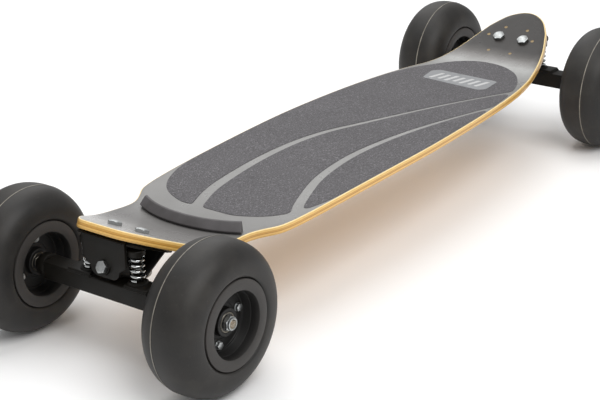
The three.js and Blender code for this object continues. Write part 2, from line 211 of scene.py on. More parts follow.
def fadedPaintWithShade():
    # sprayed silver-grey lacquer with a printed fade to charcoal over the nose; the darkening towards the foot stop
    # is painted shade and reflection of the stop, and the pale band where the nose bends up is a painted highlight
    made = Finish("fadedPaintWithShade", Roughness=0.3, IOR=1.3, Coat_Weight=0.06, Coat_Roughness=0.2)
    lengthwise = addNode(made.tree, "ShaderNodeSeparateXYZ", {"Vector": made.where}).outputs["X"]
    mist = made.noise(45, 4.0)
    # along the board: the dark stops near 0.12 and 0.17 are the foot stop's painted shade, the pale stop at 0.87 is
    # a painted highlight, and the stops from 0.9 on are the printed fade
    tone = made.ramp(
        made.spread(made.reckon("MULTIPLY_ADD", mist, 0.02, lengthwise), 0, 1, -0.58, 0.6),
        (0.0, "#9a9896"), (0.06, "#8d8b89"), (0.12, "#6c6a69"), (0.17, "#6d6c6a"), (0.3, "#7a7977"),
        (0.8, "#7a7977"), (0.87, "#989896"), (0.885, "#7b7977"), (0.9, "#504d4a"), (0.918, "#2a2725"),
        (1.0, "#25221f"))
    # aluminium flake in the lacquer, drawn 0.8 mm coarse so that it shows
    flake = made.noise(0.8, 2.0)
    varied = made.mix(1.0, tone, made.spread(flake, 0.93, 1.07), "MULTIPLY")
    return made.close(varied, made.spread(mist, 0.24, 0.36), flake, 0.04)


def gritTape():
    # silicon carbide grit on a black backing, with pale grains painted in here and there as glints; the 0.5 mm grit
    # is drawn 1.7 mm
    made = Finish("gritTape", Roughness=0.8, IOR=1.5)
    grains = addNode(made.tree, "ShaderNodeTexVoronoi", {"Vector": made.where, "Scale": 1 / (1.7 * mm)})
    fine = made.noise(2.3, 6.0)
    tone = made.ramp(fine, (0.3, "#403e40"), (0.47, "#4f4d4f"), (0.6, "#5b595c"), (0.74, "#6f6d70"))
    cell = addNode(made.tree, "ShaderNodeSeparateColor", {"Color": grains.outputs["Color"]}).outputs["Red"]
    # a few cells painted pale as glints off the grit
    paintedGlints = made.mix(made.ramp(cell, (0.93, 0.0), (0.97, 0.28)), tone, "#a3a1a3")
    varied = made.mix(1.0, paintedGlints, made.spread(made.noise(110, 3.0), 0.93, 1.07), "MULTIPLY")
    height = made.reckon("MULTIPLY_ADD", grains.outputs["Distance"], -0.8, fine)
    return made.close(varied, height=height, strength=0.5, depth=0.6)


def extrudedRubber():
    # solid rubber out of a die: even charcoal, dull, with fine die lines
    made = Finish("extrudedRubber", Roughness=0.6, IOR=1.52)
    tone = made.ramp(made.noise(26, 5.0), (0.3, "#434040"), (0.55, "#4c494a"), (0.78, "#575455"))
    lines = made.noise(1.2, 3.0, made.stretch((1.0, 0.08, 1.0)))
    return made.close(tone, height=lines, strength=0.15, depth=0.3)


def plainFinish(name, tone, dark, rough):
    # small moulded, printed or cut parts: one even colour, a little mottled
    made = Finish(name, Roughness=rough, IOR=1.5)
    mottle = made.noise(4, 4.0)
    return made.close(made.mix(mottle, tone, dark), height=mottle)


rubber, seam, nylonRim = mouldedRubber(), seamRubber(), glassNylon()
zinc, brightWire, axleSteel = zincPlate(), zincPlate("zincSpringWire", "#d4d7d9", 0.14, 0.26), bareSteel()
raceSteel = zincPlate("bearingSteel", "#77736b", 0.28, 0.45, "#615c53")
blackCoat, plies, veneer, paint = powderCoat(), mapleEdge(), mapleVeneer(), fadedPaintWithShade()
grit, stopFinish = gritTape(), extrudedRubber()
whiteNylon = plainFinish("washerNylon", "#a7a498", "#8d8a80", 0.45)
sealBlack = plainFinish("nitrileSeal", "#1d1c1b", "#141413", 0.5)
badgeGrey = plainFinish("printedVinyl", "#858688", "#7b7d7f", 0.5)
boredWood = plainFinish("boredMaple", "#a08c68", "#8a7656", 0.7)
badgeWhite = plainFinish("whiteInk", "#bdbdbd", "#b0b0b0", 0.5)
print("finishes made")


def ringFaces(count, segments, capped=True):
    # faces between rings of points that follow each other, closed by two caps or by joining last to first
    total, faces = count * segments, []
    for j in range(count - 1 if capped else count):
        low, high = j * segments, (j + 1) * segments % total
        for k in range(segments):
            n = (k + 1) % segments
            faces.append([low + k, low + n, high + n, high + k])
    return faces + ([list(range(segments))[::-1], list(range(total - segments, total))] if capped else [])


# shapes are gathered in millimetres, each closed shell turned to face outwards
class Shape:
    def __init__(self):
        self.points, self.faces, self.finish, self.depth = [], [], [], []

    def add(self, points, faces, finish=0, matrix=None, depth=None):
        volume = 0.0
        for face in faces:
            first = Vector(points[face[0]])
            for a, b in zip(face[1:-1], face[2:]):
                volume += first.dot(Vector(points[a]).cross(Vector(points[b])))
        start = len(self.points)
        self.points += [matrix @ Vector(p) for p in points] if matrix else [Vector(p) for p in points]
        self.faces += [[start + i for i in (face if volume > 0 else face[::-1])] for face in faces]
        self.finish += list(finish) if isinstance(finish, list) else [finish] * len(faces)
        self.depth += depth or [0.0] * len(points)


def makePiece(name, shape, finishes, body, replaced=(), sharp=35, axle=None):
    mesh = bpy.data.meshes.new(name)
    mesh.from_pydata([p * mm for p in shape.points], [], shape.faces)
    return finishPiece(name, mesh, finishes, body, replaced, sharp, axle, shape)


def finishPiece(name, mesh, finishes, body, replaced=(), sharp=35, axle=None, shape=None):
    if finishes:
        mesh.materials.clear()
        for finish in finishes:
            mesh.materials.append(finish)
    if shape:
        mesh.polygons.foreach_set("material_index", shape.finish)
        if any(shape.depth):
            mesh.attributes.new("plyDepth", "FLOAT", "POINT").data.foreach_set("value", shape.depth)
    if axle:
        radii = [math.hypot(v.co.x / mm - axle.x, v.co.z / mm - axle.z) for v in mesh.vertices]
        mesh.attributes.new("fromAxle", "FLOAT", "POINT").data.foreach_set("value", radii)
    mesh.shade_smooth()
    mesh.set_sharp_from_angle(angle=math.radians(sharp))
    mesh.validate()
    piece = bpy.data.objects.new(name, mesh)
    bpy.context.scene.collection.objects.link(piece)
    if body:
        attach(piece, body)
    if replaced:
        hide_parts(*replaced)
    return piece


def turnTo(direction, origin=(0, 0, 0)):
    # local Z laid along a direction
    return Matrix.Translation(Vector(origin)) @ Vector(direction).to_track_quat("Z", "Y").to_matrix().to_4x4()


def addTurned(shape, profile, segments=48, finish=0, matrix=None):
    # a closed profile of (radius, height) turned about local Z; radius 0 makes a pole
    points, rings = [], []
    for radius, height in profile:
        if radius < 1e-6:
            rings.append([len(points)] * segments)
            points.append((0, 0, height))
            continue
        rings.append(list(range(len(points), len(points) + segments)))
        for k in range(segments):
            angle = 2 * math.pi * k / segments
            points.append((radius * math.cos(angle), radius * math.sin(angle), height))
    solid = profile[0][0] < 1e-6
    faces, finishes = [], []
    for j in range(len(rings) - (1 if solid else 0)):
        low, high = rings[j], rings[(j + 1) % len(rings)]
        for k in range(segments):
            n = (k + 1) % segments
            face = [low[k], low[n], high[n], high[k]]
            face = [v for i, v in enumerate(face) if v != face[i - 1]]
            faces.append(face)
            finishes.append(finish[j] if isinstance(finish, list) else finish)
    shape.add(points, faces, finishes, matrix)


def alongLine(start, end, matrix):
    start, end = Vector(start), Vector(end)
    place = turnTo(end - start, start)
    return (end - start).length, matrix @ place if matrix else place


def addBar(shape, radius, start, end, matrix=None, chamfer=0.6, segments=40, finish=0):
    length, place = alongLine(start, end, matrix)
    profile = [(0, 0), (radius - chamfer, 0), (radius - chamfer * 0.3, chamfer * 0.3), (radius, chamfer),
               (radius, length - chamfer), (radius - chamfer * 0.3, length - chamfer * 0.3),
               (radius - chamfer, length), (0, length)]
    addTurned(shape, profile, segments, finish, place)


def addHollowBar(shape, bore, radius, start, end, matrix=None, chamfer=0.6, segments=40):
    length, place = alongLine(start, end, matrix)
    profile = [(bore, chamfer / 2), (bore + chamfer / 2, 0), (radius - chamfer, 0), (radius, chamfer),
               (radius, length - chamfer), (radius - chamfer, length), (bore + chamfer / 2, length),
               (bore, length - chamfer / 2)]
    addTurned(shape, profile, segments, 0, place)


def addBlock(shape, low, high, rounding=1.2, matrix=None, segments=3):
    solid = bmesh.new()
    bmesh.ops.create_cube(solid, size=1)
    low, high = Vector(low), Vector(high)
    for v in solid.verts:
        v.co = Vector([low[i] + (v.co[i] + 0.5) * (high[i] - low[i]) for i in range(3)])
    bmesh.ops.bevel(solid, geom=list(solid.edges), offset=rounding, segments=segments, profile=0.5,
                    affect="EDGES", clamp_overlap=True)
    solid.verts.index_update()
    shape.add([v.co.copy() for v in solid.verts], [[v.index for v in f.verts] for f in solid.faces], 0, matrix)
    solid.free()


def addHex(shape, flats, low, high, matrix=None, both=False, bore=0.0, segments=48):
    # a hexagon whose corners are turned off at 30 degrees, on one face or on both
    circle = flats / 2 * 0.95
    angles = [2 * math.pi * k / segments for k in range(segments)]
    corner = [flats / 2 / math.cos((a + math.pi / 6) % (math.pi / 3) - math.pi / 6) for a in angles]
    drop = [(r - circle) * math.tan(math.radians(30)) for r in corner]
    rings = []
    if both:
        rings.append([(circle, low)] * segments)
        rings.append([(r, low + d) for r, d in zip(corner, drop)])
    else:
        rings.append([(r * 0.985, low) for r in corner])
    rings.append([(r, high - d) for r, d in zip(corner, drop)])
    rings.append([(circle, high)] * segments)
    if bore:
        rings.append([(bore + 0.5, high)] * segments)
        rings.append([(bore, high - 0.5)] * segments)
        rings.append([(bore, low)] * segments)
    points = [(r * math.cos(a), r * math.sin(a), z) for ring in rings for (r, z), a in zip(ring, angles)]
    shape.add(points, ringFaces(len(rings), segments, capped=not bore), 0, matrix)


def anticlockwise(loop):
    loop = [Vector(p) for p in loop]
    area = sum(a.x * b.y - b.x * a.y for a, b in zip(loop, loop[1:] + loop[:1]))
    return loop if area > 0 else loop[::-1]


def offsetLoop(loop, inward):
    moved = []
    for i, here in enumerate(loop):
        a = (here - loop[i - 1]).normalized()
        b = (loop[(i + 1) % len(loop)] - here).normalized()
        normal = Vector((-(a.y + b.y), a.x + b.x)).normalized()
        moved.append(here + normal * inward / max(0.5, normal.dot(Vector((-a.y, a.x)))))
    return moved


def evenLoop(loop, spacing, rounds=2):
    # points at even spacing, then corners cut back so that they come out round
    loop = [Vector(p) for p in loop]
    lengths = [(b - a).length for a, b in zip(loop, loop[1:] + loop[:1])]
    total = sum(lengths)
    count = max(8, round(total / spacing))
    result, i, walked = [], 0, 0.0
    for k in range(count):
        target = total * k / count
        while walked + lengths[i] < target:
            walked += lengths[i]
            i += 1
        result.append(loop[i].lerp(loop[(i + 1) % len(loop)], (target - walked) / max(lengths[i], 1e-9)))
    for _ in range(rounds):
        result = [(result[i - 1] + 2 * p + result[(i + 1) % len(result)]) / 4 for i, p in enumerate(result)]
    return result


def roundedLoop(corners, radius, steps=5):
    loop = []
    for i, corner in enumerate(corners):
        here, before, after = Vector(corner), Vector(corners[i - 1]), Vector(corners[(i + 1) % len(corners)])
        reach = min(radius, 0.45 * (before - here).length, 0.45 * (after - here).length)
        start = here + (before - here).normalized() * reach
        end = here + (after - here).normalized() * reach
        for k in range(steps + 1):
            t = k / steps
            loop.append(start * (1 - t) ** 2 + here * (2 * t * (1 - t)) + end * t ** 2)
    return loop


def circleLoop(x, y, radius, count=20, squeeze=1.0):
    return [Vector((x + radius * squeeze * math.cos(2 * math.pi * k / count),
                    y + radius * math.sin(2 * math.pi * k / count))) for k in range(count)]


def insideLoop(points, loop):
    px, py = points[:, None, 0], points[:, None, 1]
    ends = np.roll(loop, -1, axis=0)
    ax, ay, bx, by = loop[None, :, 0], loop[None, :, 1], ends[None, :, 0], ends[None, :, 1]
    rise = np.where(np.abs(by - ay) < 1e-12, 1e-12, by - ay)
    crossed = ((ay > py) != (by > py)) & (px < (bx - ax) * (py - ay) / rise + ax)
    return crossed.sum(axis=1) % 2 == 1


def addPlate(shape, outline, edge, lay, step, holes=(), holeEdge=(), finishes=(0, 0, 0), matrix=None):
    # a plate with true holes: edge runs as (inset, lift) from the top's rim to the bottom's, and lay puts
    # (x, y, lift) in place
    outline = anticlockwise(outline)
    wells = [anticlockwise(hole) for hole in holes]
    rings = [[offsetLoop(outline, inset) for inset, lift in edge]]
    rings += [[offsetLoop(well, -out) for out, lift in holeEdge] for well in wells]
    loops = [np.array(ring[0]) for ring in rings]
    cap, ties = [], []
    for loop in loops:
        start, count = len(cap), len(loop)
        cap += [Vector(p) for p in loop]
        ties += [(start + i, start + (i + 1) % count) for i in range(count)]
    low, high = loops[0].min(axis=0), loops[0].max(axis=0)
    grid = np.array([(x, y) for x in np.arange(low[0] + step / 2, high[0], step)
                     for y in np.arange(low[1] + step / 2, high[1], step)]).reshape(-1, 2)
    if len(grid):
        keep = insideLoop(grid, loops[0])
        for i, loop in enumerate(loops):
            apart = grid[:, None] - loop[None]
            gap = np.min(np.hypot(apart[..., 0], apart[..., 1]), axis=1)
            keep &= gap > (0.45 * step if i == 0 else 0.3 * step)
            if i:
                keep &= ~insideLoop(grid, loop)
        cap += [Vector(p) for p in grid[keep]]
    flat, _, triangles, origins, _, _ = delaunay_2d_cdt(cap, ties, [], 0, 1e-6)
    centres = np.array([sum((flat[i] for i in t), Vector((0, 0))) / 3 for t in triangles])
    wanted = insideLoop(centres, loops[0])
    for loop in loops[1:]:
        wanted &= ~insideLoop(centres, loop)
    triangles = [[origins[i][0] for i in t] for t, w in zip(triangles, wanted) if w]
    points, faces, finish, depth = [], [], [], []

    def addRing(places, lift):
        first = len(points)
        points.extend(lay(p[0], p[1], lift) for p in places)
        depth.extend([-lift] * len(places))
        return first

    top = addRing(cap, edge[0][1])
    bottom = addRing(cap, edge[-1][1])
    faces += [[top + i for i in t] for t in triangles] + [[bottom + i for i in t[::-1]] for t in triangles]
    finish += [finishes[0]] * len(triangles) + [finishes[2]] * len(triangles)
    offset = 0
    for r, ring in enumerate(rings):
        lifts = [lift for inset, lift in (edge if r == 0 else holeEdge)]
        count = len(ring[0])
        between = [addRing(ring[k], lifts[k]) for k in range(1, len(ring) - 1)]
        starts = [top + offset] + between + [bottom + offset]
        for upper, lower in zip(starts, starts[1:]):
            for i in range(count):
                n = (i + 1) % count
                face = [upper + i, lower + i, lower + n, upper + n]
                faces.append(face if r == 0 else face[::-1])
                finish.append(finishes[1 if r == 0 else -1])
        offset += count
    shape.add(points, faces, finish, matrix, depth)


def softEdge(thick):
    return [(0.9, thick), (0.25, thick - 0.25), (0, thick - 0.9), (0, 0.9), (0.25, 0.25), (0.9, 0)]


def boreEdge(thick, chamfer):
    return [(chamfer, thick), (0, thick - chamfer), (0, chamfer), (chamfer, 0)]


def addLockNut(shape, matrix, flats, height, bore, collarBore, collar, top, fall):
    # a hexagon chamfered on both faces, with the round collar that holds the nylon ring
    addHex(shape, flats, 0, height, matrix, both=True, bore=bore)
    foot = height - 0.2
    profile = [(collarBore, foot), (collar, foot), (collar, top - 1.3), (collar - fall[0], top - 0.4),
               (collar - fall[1], top), (collarBore, top - 0.2)]
    addTurned(shape, profile, 48, 0, matrix)


def smoothThrough(stations):
    # a smooth curve y(x) through a few stations
    last = len(stations) - 1
    slopes = []
    for i in range(len(stations)):
        before, after = stations[max(i - 1, 0)], stations[min(i + 1, last)]
        slopes.append((after[1] - before[1]) / (after[0] - before[0]))

    def curve(x):
        i = 0
        while i < last - 1 and x > stations[i + 1][0]:
            i += 1
        span = stations[i + 1][0] - stations[i][0]
        t = (x - stations[i][0]) / span
        return ((2 * t ** 3 - 3 * t ** 2 + 1) * stations[i][1] + (t ** 3 - 2 * t ** 2 + t) * span * slopes[i]
                + (3 * t ** 2 - 2 * t ** 3) * stations[i + 1][1] + (t ** 3 - t ** 2) * span * slopes[i + 1])
    return curve


# Geometry Nodes for what repeats
def newGrower(name, sockets):
    tree = bpy.data.node_groups.new(name, "GeometryNodeTree")
    for label, kind, value in sockets:
        socket = tree.interface.new_socket(name=label, in_out="INPUT", socket_type="NodeSocket" + kind)
        if value is not None:
            socket.default_value = value
    tree.interface.new_socket(name="Geometry", in_out="OUTPUT", socket_type="NodeSocketGeometry")
    return tree, addNode(tree, "NodeGroupInput").outputs


def grow(name, tree, values, carrier=None):
    # runs a tree on a host and hands back the plain mesh
    host = bpy.data.objects.new(name + "_host", carrier or bpy.data.meshes.new(name + "_carrier"))
    bpy.context.scene.collection.objects.link(host)
    modifier = host.modifiers.new("grow", "NODES")
    modifier.node_group = tree
    for item in tree.interface.items_tree:
        if item.item_type == "SOCKET" and item.in_out == "INPUT" and item.name in values:
            modifier[item.identifier] = values[item.name]
    bpy.context.view_layer.update()
    graph = bpy.context.evaluated_depsgraph_get()
    mesh = bpy.data.meshes.new_from_object(host.evaluated_get(graph), depsgraph=graph)
    host.modifiers.clear()
    bpy.data.objects.remove(host)
    return mesh


def closeGrower(tree, geometry, finish):
    joined = addNode(tree, "GeometryNodeRealizeInstances", {"Geometry": geometry})
    coated = addNode(tree, "GeometryNodeSetMaterial", {"Geometry": joined.outputs["Geometry"], "Material": finish})
    addNode(tree, "NodeGroupOutput", {"Geometry": coated.outputs["Geometry"]})
    return tree


def coilTree():
    tree, given = newGrower("coilTree", [
        ("Radius", "Float", 9.5 * mm), ("Wire", "Float", 1.5 * mm), ("Turns", "Float", 5.5),
        ("Height", "Float", 35 * mm), ("Closed Share", "Float", 0.12), ("Finish", "Material", None)])
    spiral = addNode(tree, "GeometryNodeCurveSpiral", {
        "Resolution": 40, "Rotations": given["Turns"], "Start Radius": given["Radius"],
        "End Radius": given["Radius"], "Height": given["Height"]})
    factor = addNode(tree, "GeometryNodeSplineParameter").outputs["Factor"]
    rest = addNode(tree, "ShaderNodeMath", {0: 1.0, 1: given["Closed Share"]}, operation="SUBTRACT")
    risen = addNode(tree, "ShaderNodeMapRange", {
        "Value": factor, 1: given["Closed Share"], 2: rest.outputs[0], 3: 0.0, 4: given["Height"]})
    place = addNode(tree, "ShaderNodeSeparateXYZ", {0: addNode(tree, "GeometryNodeInputPosition").outputs[0]})
    lifted = addNode(tree, "ShaderNodeCombineXYZ", {
        "X": place.outputs["X"], "Y": place.outputs["Y"], "Z": risen.outputs["Result"]})
    bent = addNode(tree, "GeometryNodeSetPosition", {
        "Geometry": spiral.outputs["Curve"], "Position": lifted.outputs[0]})
    section = addNode(tree, "GeometryNodeCurvePrimitiveCircle", {"Resolution": 14, "Radius": given["Wire"]})
    wire = addNode(tree, "GeometryNodeCurveToMesh", {
        "Curve": bent.outputs["Geometry"], "Profile Curve": section.outputs["Curve"], "Fill Caps": True})
    return closeGrower(tree, wire.outputs["Mesh"], given["Finish"])


def ringTree():
    # copies of one part standing round a circle
    tree, given = newGrower("ringTree", [
        ("Part", "Object", None), ("Count", "Int", 3), ("Ring Radius", "Float", 33 * mm),
        ("Start Angle", "Float", 0.0), ("Finish", "Material", None)])
    circle = addNode(tree, "GeometryNodeMeshCircle", {"Vertices": given["Count"], "Radius": given["Ring Radius"]})
    part = addNode(tree, "GeometryNodeObjectInfo", {"Object": given["Part"]})
    copies = addNode(tree, "GeometryNodeInstanceOnPoints", {
        "Points": circle.outputs["Mesh"], "Instance": part.outputs["Geometry"]})
    turn = addNode(tree, "ShaderNodeCombineXYZ", {"Z": given["Start Angle"]})
    turned = addNode(tree, "GeometryNodeTransform", {
        "Geometry": copies.outputs["Instances"], "Rotation": turn.outputs[0]})
    return closeGrower(tree, turned.outputs["Geometry"], given["Finish"])


def weldTree():
    # overlapping flat drops laid along the carrier's edges, as a weld's ripples
    tree, given = newGrower("weldTree", [
        ("Path", "Geometry", None), ("Bead", "Float", 2.2 * mm), ("Spacing", "Float", 1.9 * mm),
        ("Unevenness", "Float", 0.12), ("Seed", "Int", 4), ("Finish", "Material", None)])
    curve = addNode(tree, "GeometryNodeMeshToCurve", {"Mesh": given["Path"]})
    even = addNode(tree, "GeometryNodeResampleCurve", {
        "Curve": curve.outputs["Curve"], "Length": given["Spacing"]}, mode="LENGTH")
    drop = addNode(tree, "GeometryNodeMeshIcoSphere", {"Radius": given["Bead"], "Subdivisions": 2})
    aim = addNode(tree, "FunctionNodeAlignRotationToVector", {
        "Vector": addNode(tree, "GeometryNodeInputTangent").outputs[0]}, axis="Z")
    least = addNode(tree, "ShaderNodeMath", {0: 1.0, 1: given["Unevenness"]}, operation="SUBTRACT")
    size = addNode(tree, "FunctionNodeRandomValue", {
        2: least.outputs[0], 3: 1.0, "Seed": given["Seed"]}, data_type="FLOAT")
    flat = addNode(tree, "ShaderNodeVectorMath", {
        0: (1.0, 1.0, 0.75), "Scale": size.outputs[1]}, operation="SCALE")
    beads = addNode(tree, "GeometryNodeInstanceOnPoints", {
        "Points": even.outputs["Curve"], "Instance": drop.outputs["Mesh"], "Rotation": aim.outputs["Rotation"],
        "Scale": flat.outputs[0]})
    return closeGrower(tree, beads.outputs["Instances"], given["Finish"])


coils, rings, welds = coilTree(), ringTree(), weldTree()
print("growing trees made")


# deck
deckSizes = {
    "thickness": 12.5, "middleHeight": 157.5, "camberRadius": 10404, "bendStart": 385, "bendRadius": 280,
    "kickAngle": math.radians(25), "rounding": 2.0, "boltX": 519.6, "boltY": 25, "boltHole": 6.3,
    "half": [(-555, 58), (-540, 71), (-518, 85), (-485, 98), (-440, 107), (-394, 107.5), (-372, 117), (-348, 131),
             (-300, 138.5), (-200, 143.5), (0, 147.5), (120, 143.5), (240, 134), (340, 119.5), (430, 97.5),
             (500, 78), (545, 59)],
    "tail": [(0, -573.6), (20, -573.3), (32, -572.4), (40, -570), (48, -564), (58, -555)],
    "nose": [(0, 589.4), (6, 588.9), (18, 585.6), (39, 572), (59, 545)],
    "spareHoles": [(522, 48), (522, -43), (545, 25), (545, -20), (482, 25), (482, -20)], "spareHole": 2.7,
}
kick, bendRadius = deckSizes["kickAngle"], deckSizes["bendRadius"]
bendStart, camberRadius = deckSizes["bendStart"], deckSizes["camberRadius"]
camberEdge = math.asin(bendStart / camberRadius)
kickStart = bendStart + bendRadius * (math.sin(kick) + math.sin(camberEdge))
bendFoot = deckSizes["middleHeight"] - camberRadius * (1 - math.cos(camberEdge))
kickFoot = bendFoot + bendRadius * (math.cos(camberEdge) - math.cos(kick))


def deckTop(x):
    # height and slope: a long camber, an arc, then a straight kick at both ends
    out, side = abs(x), math.copysign(1, x)
    if out < bendStart:
        angle = math.asin(out / camberRadius)
        return deckSizes["middleHeight"] - camberRadius * (1 - math.cos(angle)), -angle * side
    if out < kickStart:
        angle = math.asin((out - bendStart) / bendRadius - math.sin(camberEdge))
        return bendFoot + bendRadius * (math.cos(camberEdge) - math.cos(angle)), angle * side
    return kickFoot + math.tan(kick) * (out - kickStart), kick * side


def overDeck(x, y, lift):
    height, slope = deckTop(x)
    return Vector((x - math.sin(slope) * lift, y, height + math.cos(slope) * lift))


def deckFrame(x, y):
    # a frame standing on the deck's top at (x, y)
    height, slope = deckTop(x)
    return Matrix.Translation((x, y, height)) @ Matrix.Rotation(-slope, 4, "Y")


def deckOutline():
    half = smoothThrough(deckSizes["half"])
    tail, nose = smoothThrough(deckSizes["tail"]), smoothThrough(deckSizes["nose"])
    side = [(tail(y), y) for y in np.arange(0, 58, 2.0)]
    side += [(x, half(x)) for x in np.arange(-555, 545, 2.5)]
    side += [(nose(y), y) for y in np.arange(59, 0, -2.0)] + [(deckSizes["nose"][0][1], 0)]
    return side + [(x, -y) for x, y in side[-2:0:-1]]


def buildDeck():
    shape = Shape()
    thick, rounding, spare = deckSizes["thickness"], deckSizes["rounding"], deckSizes["spareHole"]
    corner = [(1, 0), (0.45, 0.12), (0.12, 0.45), (0, 1)]
    edge = [(rounding * inset, -rounding * down) for inset, down in corner] + [(0, -thick / 2)]
    edge += [(rounding * inset, rounding * down - thick) for inset, down in corner[::-1]]
    bolts = [(end * deckSizes["boltX"], side * deckSizes["boltY"]) for end in (1, -1) for side in (1, -1)]
    holes = [circleLoop(x, y, deckSizes["boltHole"], 32, math.cos(kick)) for x, y in bolts]
    holes += [circleLoop(x, y, spare, 18, math.cos(kick)) for x, y in deckSizes["spareHoles"]]
    holeEdge = [(0.5, 0), (0, -0.6), (0, 0.6 - thick), (0.5, -thick)]
    addPlate(shape, evenLoop(deckOutline(), 5, 1), edge, overDeck, 11, holes, holeEdge, finishes=(0, 1, 2, 3))
    # the spare holes are stopped with short wooden plugs
    for x, y in deckSizes["spareHoles"]:
        addBar(shape, spare - 0.15, (0, 0, 1 - thick), (0, 0, -0.5), deckFrame(x, y), 0.2, 16, finish=3)
    makePiece("plied_deck", shape, [paint, plies, veneer, boredWood], bodyOf["deck"], ["deck"])


buildDeck()
print("deck built")


# grip tape: three panels parted by two curved lines
gripSizes = {
    "lift": 0.1, "thickness": 0.6, "spacing": 4.0, "narrowest": 4.0, "wideGap": 9.5, "slimGap": 3.7,
    "gapNarrows": (-340, 160),
    "ends": {"grip_left": (-357, 441), "grip_middle": (-357, 308), "grip_right": (-285, 221)},
    "half": [(-358, 44), (-350, 66), (-337, 90), (-318, 109), (-293, 123), (-262, 133.5), (-225, 139), (-100, 143),
             (0, 144.3), (120, 140.3), (220, 132.3), (300, 120.5), (350, 107), (387, 90), (417, 68), (435, 38),
             (441, 12)],
    "firstLine": [(-360, 16), (-300, 36.5), (-220, 46.5), (-140, 49), (-72, 43.5), (-15, 30.5), (45, 6),
                  (120, -24.5), (207, -61), (316, -113), (380, -146)],
    "secondLine": [(-312, -128), (-283, -111.5), (-240, -94), (-190, -77.5), (-140, -69), (-90, -65.5),
                   (-40, -67.5), (36, -78), (110, -95), (191, -119), (260, -142)],
}


def buildGrip():
    half, first, second = [smoothThrough(gripSizes[k]) for k in ("half", "firstLine", "secondLine")]

    def gap(x):
        wide, slim, (start, end) = gripSizes["wideGap"], gripSizes["slimGap"], gripSizes["gapNarrows"]
        return wide + (slim - wide) * (min(max(x, start), end) - start) / (end - start)

    panels = {
        "grip_left": (lambda x: max(first(x) + gap(x), -half(x)), half),
        "grip_middle": (lambda x: max(second(x) + gap(x), -half(x)), lambda x: min(first(x) - gap(x), half(x))),
        "grip_right": (lambda x: -half(x), lambda x: second(x) - gap(x)),
    }
    lift, top = gripSizes["lift"], gripSizes["lift"] + gripSizes["thickness"]
    for name, (low, high) in panels.items():
        start, end = gripSizes["ends"][name]
        steps = [start + (end - start) * (1 - math.cos(math.pi * k / 160)) / 2 for k in range(161)]
        steps = [x for x in steps if high(x) - low(x) > gripSizes["narrowest"]]
        loop = [(x, low(x)) for x in steps] + [(x, high(x)) for x in steps[::-1]]
        shape = Shape()
        edge = [(0.4, top), (0.1, top - 0.12), (0, top - 0.35), (0, lift), (0.4, lift - 0.05)]
        addPlate(shape, evenLoop(loop, gripSizes["spacing"], 3), edge, overDeck, 13)
        makePiece(name + "_sheet", shape, [grit], bodyOf[name], [name], sharp=40)


buildGrip()
print("grip tape laid")


# printed badge near the nose: a plain slanted patch with plain bars
badgeSizes = {
    "corners": [(310, 58), (355, 67), (367, 56), (361, -65), (311, -71), (300, -61)], "rounding": 6,
    "bars": 7, "firstBar": -50, "pitch": 15.5, "barLength": 34, "barWidth": 7, "slant": 0.22, "middleX": 333,
    "drift": 0.02, "barRounding": 2.2,
}


def buildBadge():
    lift = gripSizes["lift"] + gripSizes["thickness"] + 0.02
    shape = Shape()
    edge = [(0.2, lift + 0.25), (0, lift + 0.1), (0.2, lift)]
    patch = roundedLoop(badgeSizes["corners"], badgeSizes["rounding"])
    addPlate(shape, evenLoop(patch, 3, 0), edge, overDeck, 12)
    makePiece("nose_badge", shape, [badgeGrey], bodyOf["grip_left"])
    bars = Shape()
    for k in range(badgeSizes["bars"]):
        y = badgeSizes["firstBar"] + badgeSizes["pitch"] * k
        middle = badgeSizes["middleX"] + y * badgeSizes["drift"]
        halfLength, halfWidth = badgeSizes["barLength"] / 2 - 3 * (k % 2), badgeSizes["barWidth"] / 2
        shift = badgeSizes["slant"] * halfLength
        corners = [(middle - halfLength, y - halfWidth + shift), (middle + halfLength, y - halfWidth - shift),
                   (middle + halfLength, y + halfWidth - shift), (middle - halfLength, y + halfWidth + shift)]
        barEdge = [(0.15, lift + 0.4), (0, lift + 0.3), (0.15, lift + 0.26)]
        addPlate(bars, roundedLoop(corners, badgeSizes["barRounding"]), barEdge, overDeck, 50)
    makePiece("nose_badge_bars", bars, [badgeWhite], bodyOf["grip_left"])


buildBadge()
print("badge laid")


# foot stop: an arched rubber wedge where the kick begins
stopSizes = {
    "radius": 182, "front": -430, "middle": -8.5, "halfSpan": 94.5, "lift": 0.15, "rings": 72,
    "section": [(3, 0), (0, 4.5), (9, 16.5), (12.5, 17), (19, 0)], "cornerRounding": 1.2, "endRounding": 0.8,
}


def buildFootStop():
    section = roundedLoop(stopSizes["section"], stopSizes["cornerRounding"], 4)
    reach = math.asin(stopSizes["halfSpan"] / stopSizes["radius"])
    centre = Vector((9, 8))
    ends = [(0.94, 0.0), (0.98, 0.3), (1.0, 1.0)]
    stations = [(-reach + move * stopSizes["endRounding"] / stopSizes["radius"], size) for size, move in ends]
    inner = stopSizes["rings"]
    stations += [(-reach + 2 * reach * k / inner, 1.0) for k in range(1, inner)]
    stations += [(-angle, size) for angle, size in stations[2::-1]]
    points = []
    for angle, size in stations:
        for corner in section:
            back, height = centre + (corner - centre) * size
            radius = stopSizes["radius"] - back
            x = stopSizes["front"] + stopSizes["radius"] - radius * math.cos(angle)
            y = stopSizes["middle"] + radius * math.sin(angle)
            points.append(Vector((x, y, deckTop(x)[0] + stopSizes["lift"] + height)))
    shape = Shape()
    shape.add(points, ringFaces(len(stations), len(section)))
    makePiece("arched_foot_stop", shape, [stopFinish], bodyOf["foot_stop"], ["foot_stop"])


buildFootStop()
print("foot stop built")


# wheels
wheelSizes = {
    "tyreRadius": 107.5, "halfWidth": 44.7, "shoulderRadius": 68.4, "roundness": 2.37, "wall": 6,
    "segments": 112, "seamAt": 9.8, "seamHalf": 0.75, "seamHeight": 0.35,
    "rimBoltRadius": 33, "rimBoltY": 18, "rimBoltAngle": {"right": 12, "left": 85},
    "wheelBase": 1110, "wheelTrack": 343, "axleHeight": 106.82, "bearingY": 20, "nutY": 28.3,
}


